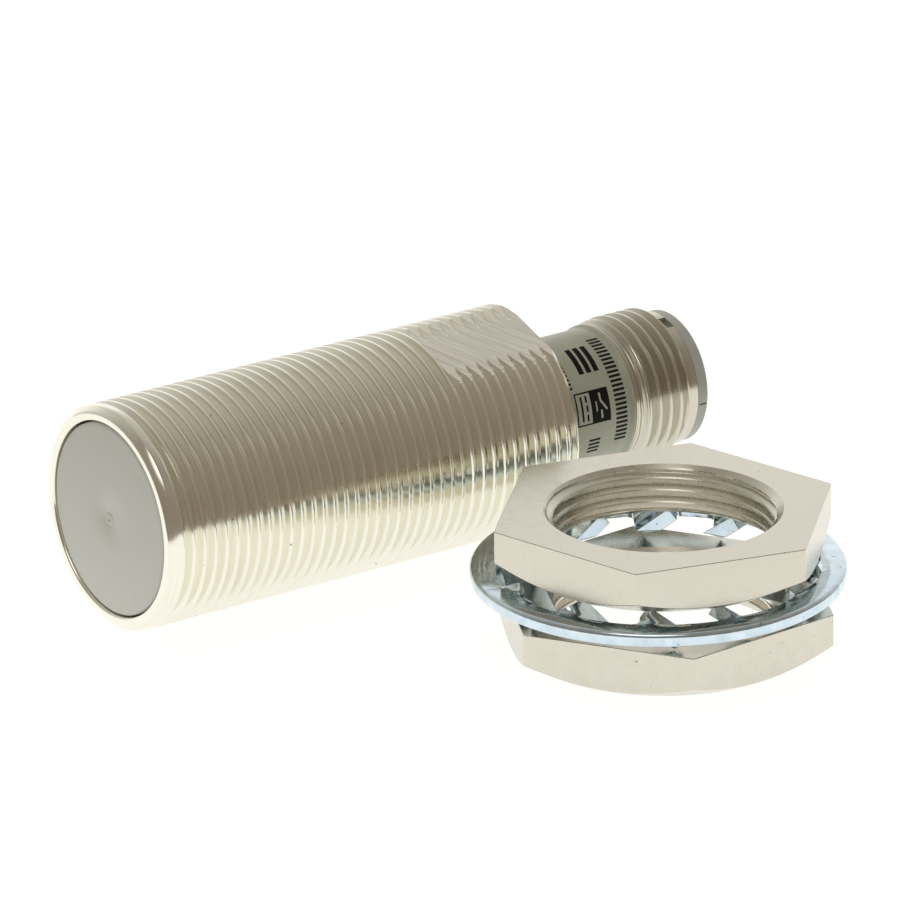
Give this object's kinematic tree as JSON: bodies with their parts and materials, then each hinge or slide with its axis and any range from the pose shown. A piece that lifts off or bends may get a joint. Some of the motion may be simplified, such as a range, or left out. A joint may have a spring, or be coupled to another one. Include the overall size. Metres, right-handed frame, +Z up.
{
  "type": "inductive proximity sensor",
  "caption": "Threaded-barrel inductive proximity sensor with a plug connector, lying beside its two hexagon mounting nuts and toothed washer.",
  "frame": {"origin": "centre of the sensing face of the sensor, which lies on its side", "axes": "+X along the barrel from the sensing face to the connector, +Z up from the surface it lies on, the loose nuts lie towards -Y"},
  "size_m": [0.0531, 0.0503, 0.018],
  "materials": {
    "nickel_plate": "nickel-plated brass, satin",
    "face_plastic": "moulded, matte grey",
    "ferrite": "sintered, matte",
    "bobbin_plastic": "moulded",
    "copper_wire": "enamelled copper",
    "holder_plastic": "moulded black",
    "board_laminate": "solder mask",
    "package_black": "moulded epoxy",
    "ceramic_tan": "fired ceramic with tinned ends",
    "led_lens": "clear epoxy",
    "shield_metal": "tinned foil",
    "neck_plastic": "translucent, satin",
    "seal_rubber": "nitrile",
    "insert_plastic": "moulded, satin grey",
    "pin_gold": "gold flash, polished",
    "brown_insulation": "extruded",
    "blue_insulation": "extruded",
    "zinc_plate": "blue-white zinc plate on spring steel",
    "cast_resin": "cast"
  },
  "bodies": {
    "sensor": {"barrel": "nickel_plate", "sensing_face_cap": "face_plastic", "ferrite_core": "ferrite", "coil_bobbin": "bobbin_plastic", "coil_winding": "copper_wire", "coil_leads": "copper_wire", "core_holder": "holder_plastic", "circuit_board": "board_laminate", "sensor_ic": "package_black", "output_transistor": "package_black", "surge_diode": "package_black", "chip_capacitors": "ceramic_tan", "chip_resistors": "package_black", "indicator_leds": "led_lens", "shield_sleeve": "shield_metal", "neck_sleeve": "neck_plastic", "body_seal": "seal_rubber", "connector_seal": "seal_rubber", "connector_shell": "nickel_plate", "contact_insert": "insert_plastic", "contact_pin_1": "pin_gold", "contact_pin_2": "pin_gold", "contact_pin_3": "pin_gold", "contact_pin_4": "pin_gold", "lead_wire_brown": "brown_insulation", "lead_wire_blue": "blue_insulation", "potting_resin": "cast_resin"},
    "lower_nut": {"lower_nut": "nickel_plate"},
    "washer": {"toothed_washer": "zinc_plate"},
    "upper_nut": {"upper_nut": "nickel_plate"}
  },
  "joints": [
    {"name": "lower_nut_lift", "type": "slide", "parent": "sensor", "child": "lower_nut", "axis": [0, 0, 1], "range_m": [0, 0.02]},
    {"name": "washer_lift", "type": "slide", "parent": "lower_nut", "child": "washer", "axis": [0, 0, 1], "range_m": [0, 0.02]},
    {"name": "upper_nut_lift", "type": "slide", "parent": "washer", "child": "upper_nut", "axis": [0, 0, 1], "range_m": [0, 0.02]}
  ]
}
